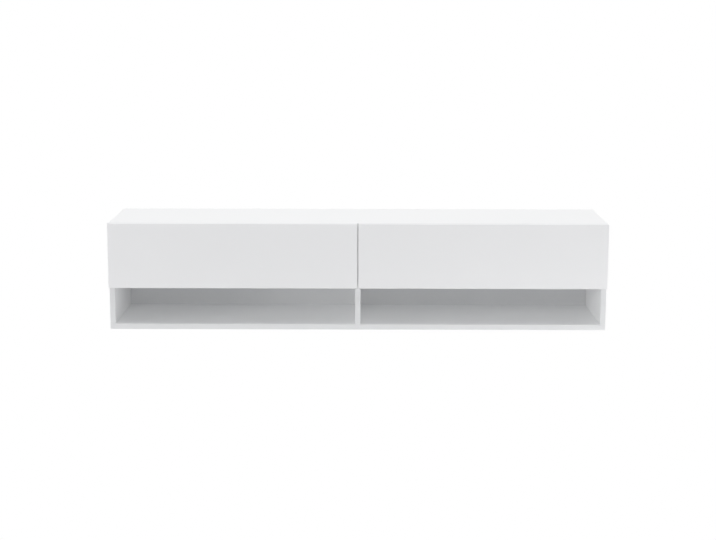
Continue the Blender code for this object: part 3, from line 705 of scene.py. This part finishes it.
# the slide's cross-section: across runs from the cabinet to the drawer, up from the mid height
def slideSection():
    s = slide
    layer = s["sheet"] + s["strip"] + 2 * fit
    webs = {"cabinet": s["sheet"] / 2, "middle": s["sheet"] / 2 + layer,
            "drawer": s["width"] - s["sheet"] / 2, "outer": s["sheet"] + fit + s["strip"] / 2}
    webs["inner"] = webs["outer"] + layer
    across = webs["inner"] + s["strip"] / 2 + fit + s["ball"]
    race = s["ball"] + fit + s["sheet"] / 2
    outer = s["height"] / 2 - s["sheet"] - fit - s["ball"]
    inner = outer - 2 * (s["ball"] + fit) - s["sheet"]

    def halved(upper):
        return upper + [(x, -z) for x, z in reversed(upper)]

    # a member bends from its web round the outside of the balls, or round their inside
    def channel(member, ball, way):
        curl = arc(across, ball, race, *s["curls"][member])
        turn = arc(webs[member] + way * s["bend"], curl[-1][1] - s["bend"], s["bend"], 90,
                   90 + way * 90, s["bendSteps"])
        return halved(curl + turn)

    reach = across + s["ball"] + s["lip"]
    return {
        "cabinet_member": channel("cabinet", outer, 1),
        "middle_member": channel("middle", inner, 1),
        "drawer_member": channel("drawer", inner, -1),
        "outer_retainer": halved([(reach, outer), (webs["outer"], outer)]),
        "inner_retainer": halved([(reach, inner), (webs["inner"], inner)]),
    }, {"outer": (across, outer), "inner": (across, inner)}


# bent sheet: a path swept along y, with half of the sheet's thickness on either side of it
def bentSheet(name, path, start, end, thickness, finish):
    shape = bmesh.new()
    rows = [[shape.verts.new((x, y, z)) for x, z in path] for y in (start, end)]
    for (a, b), (c, d) in zip(zip(rows[0], rows[0][1:]), zip(rows[1], rows[1][1:])):
        shape.faces.new((a, b, d, c))
    piece = meshObject(name, shape, finish)
    solid = piece.modifiers.new("sheet", "SOLIDIFY")
    solid.thickness = thickness
    solid.offset = 0
    solid.use_even_offset = True
    settle(piece)
    return piece


# a slot with round ends along a web
def slotShape(place):
    half = Vector((slide["cutReach"], slide["slotLength"] / 2, slide["slotRadius"]))
    return roundedSlab(place - half, place + half, 0, slide["slotRadius"] * slide["slotCorner"])


# a rolled member along the slide's length. Out is the way its screws face; the middle member has
# none, but wide holes that let a driver reach the screws behind it
def buildMember(node, body, path, low, high, out=None):
    middle, reach = (low.z + high.z) / 2, slide["cutReach"]
    web = path[len(path) // 2][0]
    spots = [low.y + slide["screwMargin"], (low.y + high.y) / 2, high.y - slide["screwMargin"]]
    places, radius = ((spots, slide["holeRadius"]) if out else
                      (spots[::2], slide["accessRadius"]))
    holes = [roundShape((web, y, middle), (1, 0, 0), -reach, reach, radius, slide["holeSteps"])
             for y in places]
    if out:
        holes += [slotShape(Vector((web, (one + two) / 2, middle)))
                  for one, two in zip(spots, spots[1:])]
    piece = bentSheet(node + "_rolled", path, low.y, high.y, slide["sheet"], zinc)
    carve(piece, holes, zinc)
    for number, y in enumerate(spots if out else []):
        surface = Vector((web, y, middle)) + out * slide["sheet"] / 2
        install(flushScrew(f"{node}_screw_{number}", surface, out, slide["screwHead"],
                           slide["screwLength"]), body, "zinc_steel")
    install(piece, body, "zinc_steel", node)


# a bent strip with its balls, a row above and a row below the slide's mid height
def buildRetainer(node, body, path, x, middle, up):
    low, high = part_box(node)
    piece = bentSheet(node + "_strip", path, low.y, high.y, slide["strip"], strip)
    length = high.y - low.y - 2 * slide["ballMargin"]
    around, along = slide["ballSteps"]
    rows = bmesh.new()
    for number in range(slide["balls"]):
        y = low.y + slide["ballMargin"] + number * length / (slide["balls"] - 1)
        for z in (middle + up, middle - up):
            bmesh.ops.create_uvsphere(rows, u_segments=around, v_segments=along,
                                      radius=slide["ball"],
                                      matrix=Matrix.Translation((x, y, z)))
    install(meshObject(node + "_balls", rows, balls), body, "retainer_steel")
    install(piece, body, "retainer_steel", node)


# a slide on a face of the carcass; inward is the way from that face to the drawer
def buildSlide(hand, place, face, inward):
    name = f"{hand}_{place}_slide"
    paths, ballPlaces = slideSection()
    low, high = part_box(name + "_cabinet_member")
    middle = (low.z + high.z) / 2
    placed = {part: [(face + inward * (fit + across), middle + up) for across, up in path]
              for part, path in paths.items()}
    toDrawer = Vector((inward, 0, 0))
    for part, body, out in (("cabinet_member", "root", toDrawer),
                            ("middle_member", hand + "_middle_members", None),
                            ("drawer_member", hand + "_drawer", -toDrawer)):
        buildMember(f"{name}_{part}", body, placed[part], low, high, out)
    for layer, (across, up) in ballPlaces.items():
        part = layer + "_retainer"
        buildRetainer(f"{name}_{part}", f"{hand}_{part}s", placed[part],
                      face + inward * (fit + across), middle, up)


def buildSlides():
    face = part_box("centre_partition")[1].x
    for hand, way in hands.items():
        low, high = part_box(hand + "_side_panel")
        buildSlide(hand, "outer", low.x if way > 0 else high.x, -way)
        buildSlide(hand, "inner", way * face, way)


hanger = {
    "corner": 1.5 * mm, "cornerSegments": 4, "pegRadius": 5 * mm, "pegLength": 10 * mm,
    "pegRoot": 1.5 * mm, "pegSpacing": 28 * mm,
    "hookWidth": 12 * mm, "hookThickness": 4 * mm, "liftTravel": 6 * mm,
    "pockets": 3, "pocketDepth": 0.8 * mm, "pocketArris": 0.3 * mm, "halfRib": 1 * mm,
    "edge": 5 * mm,
    "screwRadius": 2.3 * mm, "headRadius": 3.8 * mm, "headHeight": 2.2 * mm,
    "screwLength": 16 * mm, "boreSpare": 1 * mm, "boreSteps": 24, "domeSteps": 8,
    "slotShare": 0.24, "slotDepth": 1.2 * mm,  # the slot's width as a share of the head's radius
}


# the pegs that a hanger is pressed into its side panel with
def hangerPegs(hand, growth):
    way = hands[hand]
    low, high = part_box(hand + "_hanger_housing")
    face = (high.x if way > 0 else low.x) - way * hanger["pegLength"]
    root, middle = hanger["pegRoot"], (low.y + high.y) / 2
    return [roundShape(Vector((face - way * root, middle + step * hanger["pegSpacing"] / 2,
                               (low.z + high.z) / 2)), (way, 0, 0), 0,
                       hanger["pegLength"] + root + growth, hanger["pegRadius"] + growth)
            for step in (-1, 1)]


# an adjusting screw, with a domed head that stands in front of the housing
def buildHangerScrew(node, place):
    h = hanger
    out = Vector((0, -1, 0))
    profile = [(0, -h["screwLength"]), (h["screwRadius"], -h["screwLength"]),
               (h["screwRadius"], fit)]
    profile += [(h["headRadius"] * x, fit + h["headHeight"] * z)
                for x, z in arc(0, 0, 1, 0, 90, h["domeSteps"])]
    piece = meshObject(node + "_turned", turnedShape(profile, place, out), zinc)
    carve(piece, crossSlot(place + out * (fit + h["headHeight"]), out, h["headRadius"],
                           h["headRadius"] * h["slotShare"], h["slotDepth"]), zinc)
    install(piece, "root", "zinc_steel", node)


# the moulded housings with their pegs and screws; the hooks and the wall plates only get a finish
def buildHangers():
    for hand, way in hands.items():
        node = hand + "_hanger_housing"
        low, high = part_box(node)
        near = (high.x if way > 0 else low.x) - way * hanger["pegLength"]
        far = low.x if way > 0 else high.x
        middle = (near + far) / 2
        hookLow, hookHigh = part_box(hand + "_hanger_hook")
        half = hanger["hookWidth"] / 2 + fit
        under = hookHigh.z - hanger["hookThickness"] - hanger["liftTravel"]
        cuts = [softBox((middle - half, hookLow.y - fit, under),
                        (middle + half, high.y + past, hookHigh.z + fit))]
        # shallow pockets in the open side, between the ribs that moulding leaves
        edge, halfRib = hanger["edge"], hanger["halfRib"]
        step = (high.y - low.y - 2 * edge) / hanger["pockets"]
        for number in range(hanger["pockets"]):
            start = low.y + edge + number * step
            cuts.append(softBox((far - way * past, start + halfRib, low.z + edge),
                                (far + way * hanger["pocketDepth"], start + step - halfRib,
                                 high.z - edge), hanger["pocketArris"], 2))
        screws = {}
        for job in ("lift", "depth"):
            screw = f"{hand}_hanger_{job}_screw"
            screwLow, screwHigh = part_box(screw)
            screws[screw] = Vector((middle, low.y, (screwLow.z + screwHigh.z) / 2))
        cuts += [roundShape(place, (0, 1, 0), -past, hanger["screwLength"] + hanger["boreSpare"],
                            hanger["screwRadius"] + fit, hanger["boreSteps"])
                 for place in screws.values()]
        housing = meshObject(node + "_moulding",
                             softBox((near, low.y, low.z), (far, high.y, high.z),
                                     hanger["corner"], hanger["cornerSegments"]), nylon)
        for number, peg in enumerate(hangerPegs(hand, 0)):
            install(meshObject(f"{node}_peg_{number}", peg, nylon), "root", "white_nylon")
        carve(housing, cuts, nylon)
        install(housing, "root", "white_nylon", node)
        for screw, place in screws.items():
            buildHangerScrew(screw, place)
        refinish(hand + "_hanger_hook", zinc)
        refinish(hand + "_wall_plate", zinc)


latch = {
    "width": 14 * mm, "barrelSteps": 24, "boreLength": 31.5 * mm, "play": 0.35 * mm,
    "flangeWidth": 34 * mm, "flangeLength": 16 * mm, "flangeThickness": 2.5 * mm,
    "flangeSetback": 22 * mm, "screwHead": 3 * mm, "screwLength": 1.6 * mm,
    "plunger": 3.5 * mm, "tip": 5.2 * mm, "tipLength": 4 * mm, "tipRound": 1 * mm,
    "tipRoundSteps": 6, "tipChamfer": 0.4 * mm,
}


# the moulded barrel, with an ear on each side that is screwed under the top panel
def buildLatchHousing(hand):
    node = hand + "_latch_housing"
    low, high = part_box(node)
    middle, radius = (low.x + high.x) / 2, latch["width"] / 2
    axis = low.z + radius
    outline = [(middle - radius, high.z)]
    outline += arc(middle, axis, radius, 180, 360, latch["barrelSteps"])
    outline += [(middle + radius, high.z)]
    shape = bmesh.new()
    face = shape.faces.new([shape.verts.new((x, low.y, z)) for x, z in outline])
    moved = bmesh.ops.extrude_face_region(shape, geom=[face])["geom"]
    bmesh.ops.translate(shape, vec=(0, high.y - low.y, 0),
                        verts=[item for item in moved if isinstance(item, bmesh.types.BMVert)])
    bmesh.ops.recalc_face_normals(shape, faces=shape.faces)
    barrel = meshObject(node + "_barrel", shape, nylon)
    flangeY = low.y + latch["flangeSetback"]
    half, ear = latch["flangeWidth"] / 2, latch["flangeLength"] / 2
    under = high.z - latch["flangeThickness"]
    ears = meshObject("ears", roundedSlab((middle - half, flangeY - ear, under),
                                          (middle + half, flangeY + ear, high.z), 2, ear / 2),
                      nylon)
    join = barrel.modifiers.new("join", "BOOLEAN")
    join.operation, join.object, join.solver = "UNION", ears, "EXACT"
    settle(barrel)
    bpy.data.objects.remove(ears)
    out = Vector((0, 0, -1))
    spots = [Vector((middle + way * (half + radius) / 2, flangeY, under)) for way in (-1, 1)]
    cuts = [roundShape((middle, low.y, axis), (0, 1, 0), -past, latch["boreLength"],
                       latch["plunger"] + latch["play"])]
    cuts += [roundShape(spot, out, -latch["screwLength"], past, latch["screwHead"] + snug)
             for spot in spots]
    carve(barrel, cuts, nylon)
    install(barrel, "root", "white_nylon", node)
    for number, spot in enumerate(spots):
        install(flushScrew(f"{hand}_latch_screw_{number}", spot, out, latch["screwHead"],
                           latch["screwLength"]), "root", "zinc_steel")


# the sprung bar in the barrel; its wider tip meets the rear of the drawer's front
def buildLatchPlunger(hand):
    node = hand + "_latch_plunger"
    low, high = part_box(node)
    tip, bar, length = latch["tip"], latch["plunger"], high.y - low.y
    tipEnd, nose, chamfer = latch["tipLength"], latch["tipRound"], latch["tipChamfer"]
    profile = [(0, 0)] + arc(tip - nose, nose, nose, -90, 0, latch["tipRoundSteps"])
    profile += [(tip, tipEnd - chamfer), (tip - chamfer, tipEnd), (bar, tipEnd),
                (bar, length), (0, length)]
    foot = ((low.x + high.x) / 2, low.y, (low.z + high.z) / 2)
    piece = meshObject(node + "_turned", turnedShape(profile, foot, (0, 1, 0)), acetal)
    install(piece, hand + "_plunger", "grey_plastic", node)


# push-to-open latches
def buildLatches():
    for hand in hands:
        buildLatchHousing(hand)
        buildLatchPlunger(hand)


for build in (buildCarcass, buildBacks, buildShelves, buildJoiningScrews, buildCams, buildFronts,
              buildDrawerBoxes, buildSlides, buildHangers, buildLatches):
    build()

# lights all round the unit; the ground shows in its gloss but throws no light on it
studio = {
    "sweepRadius": 12.0, "sweepHeight": 6.0, "lidHeight": 12.0, "floor": -2.6, "bend": 2.0,
    "bendSteps": 12, "turnSteps": 64, "glow": ("ffffff", 1.0), "air": ("ebeff6", 0.15),
    "gamma": 1.5, "aim": (0, -0.16, 0),
    "lights": {
        "over": {"place": (0, -0.4, 3.2), "size": (6.0, 3.0), "power": 118.7},
        "front": {"place": (0, -4.4, 1.45), "size": (3.0, 0.3), "power": 35.3},
        "leftLevel": {"place": (-3.5, -3.0, 0.2), "size": (1.0, 1.0), "power": 7.2},
        "leftGraze": {"place": (-2.8, -1.5, 0.1), "size": (0.8, 0.8), "power": 21.4},
        "rightLevel": {"place": (2.4, -2.4, 0.1), "size": (0.8, 0.8), "power": 3.2},
        "rightGraze": {"place": (2.8, -1.2, 0.0), "size": (0.6, 0.6), "power": 3.3},
        "rightLow": {"place": (1.2, -1.6, -0.7), "size": (0.8, 0.3), "power": 6.4},
        "under": {"place": (0, -0.55, -0.55), "size": (2.0, 0.15), "power": 1.6},
        "rear": {"place": (0, 3.8, -0.35), "size": (4.0, 0.6), "power": 60, "gloss": False},
        "rearLow": {"place": (0, 2.4, -1.6), "size": (3.0, 0.8), "power": 30, "gloss": False},
    },
}


# the pale ground: a bowl that glows evenly, so it is the same white from every side, and a lid on
# it that shows only behind the unit and leaves the air above it to light it
def buildSweep():
    radius, floor, bend = studio["sweepRadius"], studio["floor"], studio["bend"]
    rim = studio["sweepHeight"]
    bowl = [(0.0, floor), (radius - bend, floor)]
    bowl += arc(radius - bend, floor + bend, bend, -90, 0, studio["bendSteps"])
    bowl.append((radius, rim))
    lid = [(radius, rim), (0.0, studio["lidHeight"])]
    material, tree = newMaterial("whiteSweep")[:2]
    colour, strength = studio["glow"]
    glow = addNode(tree, "Emission", {"Color": linear(colour), "Strength": strength})
    addNode(tree, "OutputMaterial", {"Surface": glow.outputs[0]})
    for name, profile in {"studio_sweep": bowl, "studio_lid": lid}.items():
        shape = turnedShape(profile, Vector(), (0, 0, 1), studio["turnSteps"])
        stage = meshObject(name, shape, material)
        stage.visible_diffuse = False
        stage.visible_glossy = stage.visible_shadow = name == "studio_sweep"


def buildLight(name, setup):
    data = bpy.data.lights.new(name, "AREA")
    data.shape = "RECTANGLE"
    data.size, data.size_y = setup["size"]
    data.energy = setup["power"]
    light = bpy.data.objects.new(name, data)
    light.location = setup["place"]
    toAim = Vector(studio["aim"]) - light.location
    light.rotation_euler = toAim.to_track_quat("-Z", "Y").to_euler()
    light.visible_camera = False
    light.visible_glossy = setup.get("gloss", True)
    scene.collection.objects.link(light)


buildSweep()
for name, setup in studio["lights"].items():
    buildLight(name, setup)
scene.world = bpy.data.worlds.new("studioAir")
scene.world.use_nodes = True
air = scene.world.node_tree.nodes["Background"]
airColour, airStrength = studio["air"]
air.inputs["Color"].default_value = linear(airColour)
air.inputs["Strength"].default_value = airStrength
scene.view_settings.view_transform = "Standard"
scene.view_settings.gamma = studio["gamma"]
print("stage:", len(studio["lights"]), "lights")

view = {
    "place": (0.015, -4.546, 0.756), "aim": (0.0, -0.16, -0.0055), "roll": 0.109,
    "focalPixels": 1531.6, "imageWidth": 716, "sensor": 36.0, "clipEnd": 100.0,
}


def buildCamera():
    data = bpy.data.cameras.new("photoCamera")
    data.sensor_width = view["sensor"]
    data.lens = view["focalPixels"] * view["sensor"] / view["imageWidth"]
    data.clip_end = view["clipEnd"]
    camera = bpy.data.objects.new("photoCamera", data)
    camera.location = view["place"]
    toAim = (Vector(view["aim"]) - camera.location).to_track_quat("-Z", "Y")
    camera.rotation_euler = (toAim @ Quaternion((0, 0, 1), math.radians(view["roll"]))).to_euler()
    scene.collection.objects.link(camera)
    scene.camera = camera


buildCamera()
